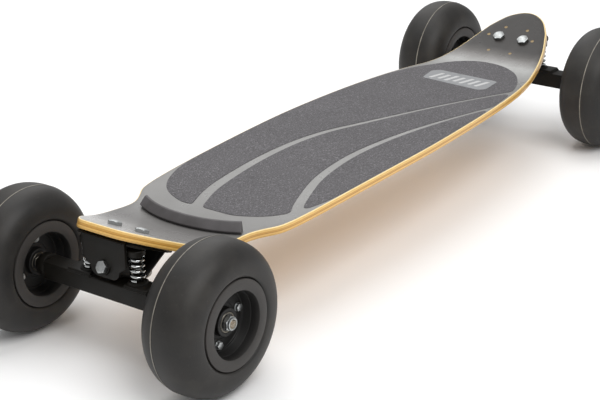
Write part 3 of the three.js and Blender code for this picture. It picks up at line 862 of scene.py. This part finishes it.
def arch(radius, width, angle):
    low = wheelSizes["shoulderRadius"]
    power = 2 / wheelSizes["roundness"]
    return low + (radius - low) * max(0, math.cos(angle)) ** power, width * math.sin(angle) ** power


def tyreProfile(seamSide):
    # from one bead over the tread to the other, with two faint moulded ribs and the parting line's ridge
    radius, width, wall = wheelSizes["tyreRadius"], wheelSizes["halfWidth"], wheelSizes["wall"]
    at, wide = wheelSizes["seamAt"] * seamSide, wheelSizes["seamHalf"]
    degrees = [0, 1, 2, 3.2, 4.5, 6, 8, 10, 12.5, 15, 18, 21, 24, 28, 32, 36, 40, 45, 50, 54, 58, 62, 66, 70, 74,
               78, 82, 86, 88.5, 90]
    sideways = [width * math.sin(math.radians(a)) ** (2 / wheelSizes["roundness"]) for a in degrees]
    sideways += [-y for y in sideways[1:]]
    sideways = [y for y in sideways if abs(y - at) > wide * 1.8]
    sideways += [at + wide * k for k in (-1.5, -1, -0.5, 0, 0.5, 1, 1.5)]
    tread, finish = [], []
    for y in sorted(sideways, reverse=True):
        angle = math.asin(min(1, abs(y) / width) ** (wheelSizes["roundness"] / 2))
        r = arch(radius, width, angle)[0]
        swell = 0.45 * math.exp(-((r - 73.5) / 0.9) ** 2) + 0.3 * math.exp(-((r - 92) / 0.8) ** 2)
        near = abs(y - at) / wide
        r += wheelSizes["seamHeight"] * min(1, max(0, (1.5 - near) / 0.5))
        tread.append((r, y + math.copysign(swell, y)))
        finish.append(1 if -1.2 * wide <= y - wide / 4 - at <= 1.2 * wide else 0)
    bead = [(67.2, 44.5), (66.0, 44.0), (64.9, 43.2), (64.0, 42.0), (63.4, 40.6), (63.2, 39.6), (60, 38.2),
            (53.4, 34.6), (53.3, 26.4), (56, 25.6), (60, 28)]
    inner = [arch(radius - wall, width - wall, math.radians(a)) for a in (80, 66, 52, 38, 24, 12, 4)]
    under = bead + inner
    profile = tread + [(r, -y) for r, y in under] + under[::-1]
    return profile, finish + [0] * (2 * len(under))


rimProfile = [
    (46.6, 43.2), (47.0, 44.1), (47.9, 44.5), (61.3, 44.5), (62.2, 44.1), (62.5, 43.2), (62.5, 41.2), (52.4, 35.5),
    (52.4, 0.2), (48.5, 0.2), (48.5, 14), (19.5, 14), (19.5, 0.2), (9, 0.2), (9, 19.6), (14.3, 19.6), (14.3, 27.6),
    (14.8, 28), (18.9, 28), (19.5, 27.4), (19.5, 19), (20.3, 18.2), (24.6, 18), (25.0, 18.6), (26.0, 18.6),
    (26.4, 18), (39.2, 18), (39.8, 18.8), (40.8, 18.8), (41.4, 18.2), (42.6, 18.6), (43.4, 19.8), (44.6, 30),
    (44.9, 30.6), (45.4, 30.9),
]
bearingProfile = [
    (6.3, 0.4), (6.6, 0), (8.3, 0), (8.6, 0.35), (11.9, 0.5), (12.2, 0), (13.7, 0), (14, 0.4),
    (14, 7.6), (13.7, 8), (12.2, 8), (11.9, 7.5), (8.6, 7.65), (8.3, 8), (6.6, 8), (6.3, 7.6),
]
bearingFinish = [1 if k in (3, 11) else 0 for k in range(len(bearingProfile))]
nylonRing = [(6.1, 6.5), (6.85, 6.5), (6.85, 8.7), (6.5, 8.9), (6.1, 8.7)]


def spareObject(name, shape):
    # a part that only lends its shape to a growing tree, so it is never linked to the scene
    mesh = bpy.data.meshes.new(name)
    mesh.from_pydata([p * mm for p in shape.points], [], shape.faces)
    return bpy.data.objects.new(name, mesh)


def rimBoltPart():
    # M6 hex bolt head on a washer, with its shank going into the dish floor
    shape = Shape()
    addHollowBar(shape, 3.3, 6.2, (0, 0, 0.05), (0, 0, 1.1), chamfer=0.2, segments=28)
    addHex(shape, 10, 1.15, 5.2, segments=36)
    addBar(shape, 3, (0, 0, -3), (0, 0, 1.3), chamfer=0.2, segments=20)
    return spareObject("rimBoltPart", shape)


def rimNutPart():
    shape = Shape()
    addHollowBar(shape, 3.3, 6.2, (0, 0, 0.05), (0, 0, 1.1), chamfer=0.2, segments=28)
    addHex(shape, 10, 1.15, 5.0, bore=3.05, segments=36)
    addHollowBar(shape, 3.05, 4.2, (0, 0, 4.9), (0, 0, 6.4), chamfer=0.5, segments=28)
    addBar(shape, 3, (0, 0, -3), (0, 0, 7.6), chamfer=0.5, segments=20)
    return spareObject("rimNutPart", shape)


def buildWheels():
    boltPart, nutPart = rimBoltPart(), rimNutPart()
    for end in ("front", "rear"):
        for side in ("left", "right"):
            name, out = f"{end}_{side}", 1 if side == "left" else -1
            body = bodyOf[f"{name}_tyre"]
            axle = Vector((wheelSizes["wheelBase"] / 2 * (1 if end == "front" else -1),
                           wheelSizes["wheelTrack"] / 2 * out, wheelSizes["axleHeight"]))
            outward = turnTo((0, out, 0), axle)
            inward = turnTo((0, -out, 0), axle)
            shape = Shape()
            profile, finish = tyreProfile(1 if name == "front_right" else -1)
            addTurned(shape, profile, wheelSizes["segments"], finish, outward)
            makePiece(f"{name}_slick_tyre", shape, [rubber, seam], body, [f"{name}_tyre"],
                      sharp=50, axle=axle)
            for place, way in (("outer", outward), ("inner", inward)):
                shape = Shape()
                addTurned(shape, rimProfile, 96, 0, way)
                makePiece(f"{name}_rim_half_{place}", shape, [nylonRim], body,
                          [f"{name}_rim_{place}"], sharp=32, axle=axle)
                shape = Shape()
                seat = way @ Matrix.Translation((0, 0, wheelSizes["bearingY"]))
                addTurned(shape, bearingProfile, 56, bearingFinish, seat)
                makePiece(f"{name}_sealed_bearing_{place}", shape, [raceSteel, sealBlack], body,
                          [f"{name}_bearing_{place}"])
                mesh = grow("rim_bolts", rings, {
                    "Part": boltPart if place == "outer" else nutPart, "Count": 3,
                    "Ring Radius": wheelSizes["rimBoltRadius"] * mm, "Finish": zinc})
                # the ring's first bolt points up from +X by the wheel's own angle, on both faces alike
                angle = math.radians(wheelSizes["rimBoltAngle"][side])
                first = Vector((math.cos(angle), 0, math.sin(angle)))
                outside = Vector((0, out if place == "outer" else -out, 0))
                turn = Matrix((first, outside.cross(first), outside)).transposed().to_4x4()
                stand = Matrix.Translation(axle) @ turn @ Matrix.Translation((0, 0, wheelSizes["rimBoltY"]))
                mesh.transform(Matrix.Scale(1 / mm, 4))
                mesh.transform(stand)
                mesh.transform(Matrix.Scale(mm, 4))
                finishPiece(f"{name}_rim_{'bolts' if place == 'outer' else 'bolt_nuts'}", mesh, None, body)
            nutShape = Shape()
            nutPlace = turnTo((0, out, 0), axle + Vector((0, out * wheelSizes["nutY"], 0)))
            addLockNut(nutShape, nutPlace, 19, 6.3, 6.15, 6.9, 8.9, 9.3, (0.4, 1.3))
            addTurned(nutShape, nylonRing, 48, 1, nutPlace)
            makePiece(f"{name}_axle_lock_nut", nutShape, [zinc, whiteNylon], bodyOf[f"{end}_axle_nut_{side}"],
                      [f"{end}_axle_nut_{side}"])


buildWheels()
print("wheels built")


# trucks, measured from the middle of the axle with x pointing out to the end of the board
truckSizes = {
    "pivotFoot": (-10.1, 0, 21.6), "pivotRadius": 5, "pivotFlats": 16, "pivotHead": (31.3, 37.4),
    "pivotEnds": (-68, 32), "pivotNut": -56.3, "bossRadius": 10.5, "bosses": ((12, 31), (-56, -36)),
    "washers": {"outer": (8.8, 10.7), "inner": (-35.7, -33.8)},
    "plateThickness": 4.8, "plateRounding": 7,
    "plateHalf": [(42, 34), (18, 58), (-7, 71), (-30, 62), (-38, 48)],
    "lugX": 11.4, "lugThickness": 4.4, "lugTopHalf": 39.5, "lugFoot": (13, 32), "lugFootRadius": 14,
    "rearLugX": -57, "rearLugThickness": 4.4, "rearLugHalf": [(11, -4), (48, 42)],
    "springX": -2, "springSide": 43.5, "springBottom": 19, "springTop": 57, "springRadius": 9.1, "springWire": 1.9,
    "springTurns": 4.75, "coreRadius": 6.2, "coreGap": (27, 41), "cupRadius": 12.5, "seatRadius": 13,
    "beam": ((-15, -122, -15), (15, 122, 11.5)), "padSide": 52, "padHalf": (14.6, 21), "padHeights": (8, 16),
    "tubeRadius": 15, "tubeEnds": (-33.5, 8.5), "gusset": ((-31, -9, -14), (-6, 9, 12)),
    "threadTurns": 14, "threadPitch": 0.75, "weldBead": 1.9, "weldSpacing": 1.8,
}
footX, _, footZ = truckSizes["pivotFoot"]
tilt = Matrix.Translation(truckSizes["pivotFoot"]) @ Matrix.Rotation(-kick, 4, "Y")
boltFoot = Vector((deckSizes["boltX"] - wheelSizes["wheelBase"] / 2 - footX,
                   deckTop(deckSizes["boltX"])[0] - wheelSizes["axleHeight"] - footZ))
boltAlong = boltFoot.x * math.cos(kick) + boltFoot.y * math.sin(kick)
plateTop = boltFoot.y * math.cos(kick) - boltFoot.x * math.sin(kick) - deckSizes["thickness"] - 0.3
plateMiddle = plateTop - truckSizes["plateThickness"] / 2


def plateHeight(x):
    # height of the plate's middle over the axle, at a distance x along the board
    along = (x - footX + math.sin(kick) * plateMiddle) / math.cos(kick)
    return footZ + math.sin(kick) * along + math.cos(kick) * plateMiddle


def standing(x0):
    return lambda y, z, lift: Vector((x0 + lift, y, z))


def mirrored(half):
    return half + [(x, -y) for x, y in half[::-1]]


def springPlace(side):
    return truckSizes["springX"], truckSizes["springSide"] * side


def buildBracket(end, place):
    shape = Shape()
    thick = truckSizes["plateThickness"]
    half = truckSizes["plateHalf"][::-1]
    outline = roundedLoop(mirrored(half), truckSizes["plateRounding"])
    holes = [circleLoop(boltAlong, deckSizes["boltY"] * side, deckSizes["boltHole"], 28) for side in (1, -1)]
    bottom = plateTop - thick
    addPlate(shape, evenLoop(outline, 3, 0), softEdge(thick), lambda x, y, lift: Vector((x, y, bottom + lift)), 14,
             holes, boreEdge(thick, 0.4), matrix=place @ tilt)
    lugX, thick, wide = truckSizes["lugX"], truckSizes["lugThickness"], truckSizes["lugTopHalf"]
    (y, z), radius, top = truckSizes["lugFoot"], truckSizes["lugFootRadius"], plateHeight(lugX) + 1
    arc = [(y + radius * math.cos(a), z + radius * math.sin(a)) for a in np.linspace(-math.pi / 2, 0, 10)]
    shoulder = [(30, 34), (wide, 41), (wide, top)]
    lug = [(-y, z) for y, z in arc[::-1]] + arc + shoulder + [(-y, z) for y, z in shoulder[::-1]]
    bore = [Vector((5.6 * math.cos(a), 30.6 + 6.2 * math.sin(a))) for a in np.linspace(0, 2 * math.pi, 28)[:-1]]
    addPlate(shape, evenLoop(lug, 2.6, 0), softEdge(thick), standing(lugX), 10, [bore], boreEdge(thick, 0.3),
             matrix=place)
    rearX, thick = truckSizes["rearLugX"], truckSizes["rearLugThickness"]
    half = truckSizes["rearLugHalf"] + [(48, plateHeight(rearX) + 1)]
    rear = roundedLoop([(-y, z) for y, z in half[::-1]] + half, 6)
    addPlate(shape, evenLoop(rear, 3, 0), softEdge(thick), standing(rearX), 12, matrix=place)
    for low, high in truckSizes["bosses"]:
        addHollowBar(shape, truckSizes["pivotRadius"] + 0.3, truckSizes["bossRadius"], (low, 0, 0), (high, 0, 0),
                     place @ tilt, 0.8, 48)
    cup, core, foot = truckSizes["springTop"], truckSizes["coreRadius"], truckSizes["coreGap"][1]
    for side in (1, -1):
        x, y = springPlace(side)
        top = plateHeight(x - 11) - 1
        addHollowBar(shape, 8.9, truckSizes["cupRadius"], (x, y, cup - 0.4), (x, y, top), place, 0.7, 40)
        addBar(shape, 9.6, (x, y, cup + 0.3), (x, y, top), place, 0.4, 32)
        addBar(shape, core, (x, y, foot), (x, y, cup + 2), place, 1.2, 32)
    makePiece(f"{end}_truck_bracket", shape, [blackCoat], bodyOf[f"{end}_bracket"],
              [f"{end}_bracket"], sharp=40)


def buildHanger(end, place):
    shape = Shape()
    addBlock(shape, *truckSizes["beam"], 2.2, place)
    core, coreTop = truckSizes["coreRadius"], truckSizes["coreGap"][0]
    (padX, padY), (padFoot, padTop) = truckSizes["padHalf"], truckSizes["padHeights"]
    turns, pitch = truckSizes["threadTurns"], truckSizes["threadPitch"]
    for side in (1, -1):
        middle = side * truckSizes["padSide"]
        addBlock(shape, (-padX, middle - padY, padFoot), (padX, middle + padY, padTop), 1.8, place)
        x, y = springPlace(side)
        addBar(shape, truckSizes["seatRadius"], (x, y, 12), (x, y, 18.7), place, 0.9, 40)
        addBar(shape, core, (x, y, 12), (x, y, coreTop), place, 1.2, 32)
        # end flange, shoulder, plain shaft, then the threaded end with its turned crests
        for radius, low, high, chamfer, segments, finish in (
                (17, 120, 134, 1.4, 56, 0), (9, 130, 143.2, 0.6, 40, 0), (6, 140, 199, 0.2, 36, 1)):
            addBar(shape, radius, (0, side * low, 0), (0, side * high, 0), place, chamfer, segments, finish)
        thread = [(0, 0), (5.3, 0)]
        for k in range(turns):
            thread += [(5.95, k * pitch + 0.3), (5.45, k * pitch + 0.62)]
        thread += [(5.0, 11.0), (4.4, 11.4), (0, 11.4)]
        addTurned(shape, thread, 36, 1, place @ turnTo((0, side, 0), (0, side * 198, 0)))
    low, high = truckSizes["tubeEnds"]
    addHollowBar(shape, truckSizes["pivotRadius"] + 0.3, truckSizes["tubeRadius"], (low, 0, 0), (high, 0, 0),
                 place @ tilt, 0.9, 56)
    addBlock(shape, *truckSizes["gusset"], 1.2, place)
    makePiece(f"{end}_truck_hanger", shape, [blackCoat, axleSteel], bodyOf[f"{end}_hanger"],
              [f"{end}_hanger"], sharp=40)


def buildPivot(end, place):
    lean = place @ tilt
    upright = lean @ Matrix.Rotation(math.pi / 2, 4, "Y")
    shape = Shape()
    radius, flats, (foot, head) = truckSizes["pivotRadius"], truckSizes["pivotFlats"], truckSizes["pivotHead"]
    addHex(shape, flats, foot, head, upright @ Matrix.Rotation(0.3, 4, "Z"))
    addTurned(shape, [(4.6, head - 0.1), (6.0, head - 0.1), (6.0, head + 0.4), (4.6, head + 0.4)], 40, 0, upright)
    low, high = truckSizes["pivotEnds"]
    addBar(shape, radius, (low, 0, 0), (high, 0, 0), lean, 0.8, 36)
    makePiece(f"{end}_pivot_hex_bolt", shape, [zinc], bodyOf[f"{end}_pivot_bolt"],
              [f"{end}_pivot_bolt"])
    shape = Shape()
    back = lean @ Matrix.Translation((truckSizes["pivotNut"], 0, 0)) @ Matrix.Rotation(-math.pi / 2, 4, "Y")
    addLockNut(shape, back, flats, 5.8, radius + 0.15, radius + 0.15, 7.5, 8.5, (0.5, 1.3))
    makePiece(f"{end}_pivot_lock_nut", shape, [zinc], bodyOf[f"{end}_pivot_nut"],
              [f"{end}_pivot_nut"])
    for name, (low, high) in truckSizes["washers"].items():
        node = f"{end}_pivot_washer_{name}"
        shape = Shape()
        addHollowBar(shape, radius + 0.3, truckSizes["bossRadius"], (low, 0, 0), (high, 0, 0), lean, 0.3, 48)
        makePiece(f"{end}_nylon_washer_{name}", shape, [whiteNylon], bodyOf[node], [node])


boltSizes = {
    "flats": 19, "head": (0.3, 5.0), "radius": 6, "end": -30, "nutAt": -18.2, "turn": 0.3, "markTurn": 0.5,
    "dome": [(0, 3), (8.7, 3), (8.7, 5.0), (7.2, 5.7), (5.0, 6.2), (2.5, 6.5), (0, 6.6)],
    "gradeMark": ((3.4, -0.35, 5.4), (6.2, 0.35, 6.25)),
}


def deckFastener(end, side, along, across):
    name = f"{end}_deck_bolt_{side}"
    stand = deckFrame(along, across)
    shape = Shape()
    addHex(shape, boltSizes["flats"], *boltSizes["head"], stand @ Matrix.Rotation(boltSizes["turn"], 4, "Z"))
    addTurned(shape, boltSizes["dome"], 40, 0, stand)
    for k in range(3):
        # three radial grade marks, as on any strong bolt
        mark = stand @ Matrix.Rotation(2 * math.pi * k / 3 + boltSizes["markTurn"], 4, "Z")
        addBlock(shape, *boltSizes["gradeMark"], 0.12, mark, segments=1)
    addBar(shape, boltSizes["radius"], (0, 0, boltSizes["end"]), (0, 0, 2), stand, 0.8, 36)
    makePiece(f"{end}_{side}_hex_bolt", shape, [zinc], bodyOf[name], [name])
    shape = Shape()
    below = stand @ Matrix.Translation((0, 0, boltSizes["nutAt"])) @ Matrix.Rotation(math.pi, 4, "X")
    addLockNut(shape, below, boltSizes["flats"], 6.4, 6.15, 6.15, 8.9, 9.2, (0.5, 1.5))
    nut = name.replace("bolt", "nut")
    makePiece(f"{end}_{side}_deck_lock_nut", shape, [zinc], bodyOf[nut], [nut])


def buildSprings(end, place):
    front = end == "front"
    low, high = truckSizes["springBottom"], truckSizes["springTop"]
    wire = truckSizes["springWire"]
    for out in (1, -1):
        side = "left" if (out > 0) == front else "right"
        mesh = grow("coil", coils, {
            "Radius": truckSizes["springRadius"] * mm, "Wire": wire * mm, "Turns": truckSizes["springTurns"],
            "Height": (high - low - 2 * wire) * mm, "Closed Share": 0.06, "Finish": brightWire})
        x, y = springPlace(out)
        foot, head = place @ Vector((x, y, low)), place @ Vector((x, y, high))
        turn = place.to_3x3().to_4x4() @ Matrix.Rotation(0.6, 4, "Z")
        mesh.transform(Matrix.Translation((foot + Vector((0, 0, wire))) * mm) @ turn)
        name = f"{end}_spring_{side}"
        piece = finishPiece(f"{end}_{side}_coil_spring", mesh, None, None, [name])
        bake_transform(piece)


def weldPiece(name, paths, body):
    carrier = bpy.data.meshes.new(name + "_path")
    points, edges = [], []
    for path in paths:
        edges += [(len(points) + i, len(points) + i + 1) for i in range(len(path) - 1)]
        points += [Vector(p) * mm for p in path]
    carrier.from_pydata(points, edges, [])
    mesh = grow(name, welds, {"Bead": truckSizes["weldBead"] * mm, "Spacing": truckSizes["weldSpacing"] * mm,
                              "Seed": 4, "Finish": blackCoat}, carrier)
    finishPiece(name, mesh, None, body)


def circle(x, y, radius, count, height):
    return [Vector((x + radius * math.cos(a), y + radius * math.sin(a), height))
            for a in np.linspace(0, 2 * math.pi, count)]


def buildWelds(end, place):
    lugX, rearX = truckSizes["lugX"], truckSizes["rearLugX"]
    under = truckSizes["plateThickness"] / 2 + 0.2
    paths = []
    for x, half, count in (
            (lugX - 0.2, 35, 20), (lugX + 4.6, 35, 20), (rearX - 0.2, 44, 30), (rearX + 8.2, 44, 30)):
        height = plateHeight(x) - under
        paths.append([place @ Vector((x, y, height)) for y in np.linspace(-half, half, count)])
    for side in (1, -1):
        ring = circle(*springPlace(side), truckSizes["cupRadius"] + 0.1, 40, 0)
        paths.append([place @ Vector((p.x, p.y, plateHeight(p.x) - under)) for p in ring])
    weldPiece(f"{end}_bracket_welds", paths, bodyOf[f"{end}_bracket"])
    paths = []
    for side in (1, -1):
        for x in (-14.8, 14.8):
            paths.append([Vector((x, y, 11.6)) for y in np.linspace(side * 32, side * 72, 16)])
        for y in (side * 31, side * 73):
            paths.append([Vector((x, y, 11.6)) for x in np.linspace(-13, 13, 10)])
        paths.append([Vector((p.x, side * 122.2, p.y * 0.84 - 1.7)) for p in circle(0, 0, 15.2, 40, 0)])
        paths.append(circle(*springPlace(side), truckSizes["seatRadius"], 36, 16))
    for sign in (1, -1):
        paths.append([tilt @ Vector((x, sign * 12.8, -7.5)) for x in np.linspace(-26, 7, 14)])
    weldPiece(f"{end}_hanger_welds", [[place @ p for p in path] for path in paths], bodyOf[f"{end}_hanger"])


for end, out in (("front", 1), ("rear", -1)):
    place = Matrix.Translation((out * wheelSizes["wheelBase"] / 2, 0, wheelSizes["axleHeight"]))
    place = place @ Matrix.Rotation(0 if out > 0 else math.pi, 4, "Z")
    buildBracket(end, place)
    buildHanger(end, place)
    buildPivot(end, place)
    buildSprings(end, place)
    buildWelds(end, place)
    for side, across in (("left", 1), ("right", -1)):
        deckFastener(end, side, out * deckSizes["boltX"], across * deckSizes["boltY"])
print("trucks built")


# floor, lights and camera
studio = {
    "cameraPlace": (-1.962, -1.402, 1.041), "azimuth": -52.53, "elevation": 22.51, "roll": -1.79, "lens": 95.82,
    "floor": "#f8f8f8", "floorShade": "#f2f2f2", "floorDrop": 0.0007, "sky": "#ffffff", "skyStrength": 0.5,
    "softboxes": [("keySoftbox", (-0.9, -2.1, 2.9), (0, 0, 0.1), 2.2, 75),
                  ("topSoftbox", (0.3, 0.9, 3.3), (0, 0, 0.1), 3.0, 60),
                  ("backSoftbox", (2.4, 2.2, 2.2), (0.2, 0, 0.1), 2.0, 22)],
}


def buildStudio():
    floorMesh = bpy.data.meshes.new("studioFloor")
    low, far = -studio["floorDrop"], 14
    corners = [(-far, -far, low), (far, -far, low), (far, far, low), (-far, far, low)]
    floorMesh.from_pydata(corners, [], [(0, 1, 2, 3)])
    floor = bpy.data.objects.new("studioFloor", floorMesh)
    bpy.context.scene.collection.objects.link(floor)
    paper = Finish("whitePaper", Roughness=0.9)
    floorMesh.materials.append(paper.close(paper.mix(paper.noise(500, 2.0), studio["floor"], studio["floorShade"])))
    world = bpy.data.worlds.new("softSky")
    world.use_nodes = True
    bpy.context.scene.world = world
    world.node_tree.nodes["Background"].inputs["Color"].default_value = linearColour(studio["sky"])
    world.node_tree.nodes["Background"].inputs["Strength"].default_value = studio["skyStrength"]
    for name, place, aim, size, power in studio["softboxes"]:
        lamp = bpy.data.lights.new(name, "AREA")
        lamp.shape, lamp.size, lamp.energy = "SQUARE", size, power
        holder = bpy.data.objects.new(name, lamp)
        holder.matrix_world = turnTo(Vector(place) - Vector(aim), place)
        bpy.context.scene.collection.objects.link(holder)
    lens = bpy.data.cameras.new("camera")
    lens.lens, lens.sensor_width = studio["lens"], 36
    lens.clip_start, lens.clip_end = 0.05, 60
    camera = bpy.data.objects.new("camera", lens)
    azimuth, elevation, roll = [math.radians(studio[k]) for k in ("azimuth", "elevation", "roll")]
    back = Vector((math.sin(azimuth) * math.cos(elevation), -math.cos(azimuth) * math.cos(elevation),
                   math.sin(elevation)))
    right = (-back).cross(Vector((0, 0, 1))).normalized()
    up = right.cross(-back)
    across = right * math.cos(roll) + up * math.sin(roll)
    above = up * math.cos(roll) - right * math.sin(roll)
    turned = Matrix((across, above, back)).transposed().to_4x4()
    camera.matrix_world = Matrix.Translation(studio["cameraPlace"]) @ turned
    bpy.context.scene.collection.objects.link(camera)
    bpy.context.scene.camera = camera
    bpy.context.scene.view_settings.view_transform = "Standard"  # studio whites stay white


buildStudio()
print("studio set")
